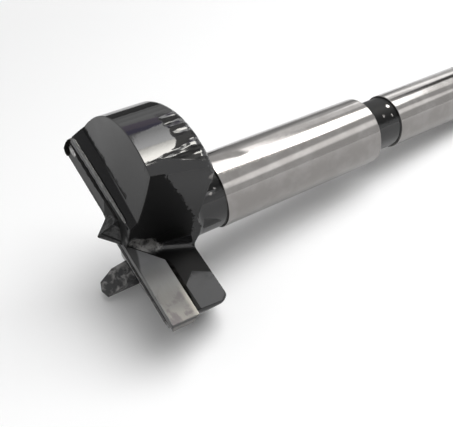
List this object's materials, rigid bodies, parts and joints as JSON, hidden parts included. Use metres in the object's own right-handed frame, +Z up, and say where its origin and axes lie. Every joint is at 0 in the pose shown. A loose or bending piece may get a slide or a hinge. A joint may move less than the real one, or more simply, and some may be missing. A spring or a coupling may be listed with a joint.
{
  "type": "wood boring bit",
  "caption": "Two-wing wood boring bit with brazed cutter plates, a scoring spur, a centre point and a stepped round shank, lying at rest.",
  "frame": {"origin": "centre of the bounding box at the height of the table it lies on", "axes": "+X towards the end of the shank as seen from above, +Z up from the table; the bit's own axis leans down towards the shank by 8.4 degrees"},
  "size_m": [0.0914, 0.032, 0.0327],
  "materials": {
    "bit_body": "gloss black head and neck, ground steel shank",
    "cutter_plate": "ground carbide",
    "scoring_spur": "dark brazed"
  },
  "bodies": {
    "root": {"bit_body": "bit_body", "cutter_plate_a": "cutter_plate", "cutter_plate_b": "cutter_plate", "scoring_spur": "scoring_spur"}
  },
  "joints": []
}
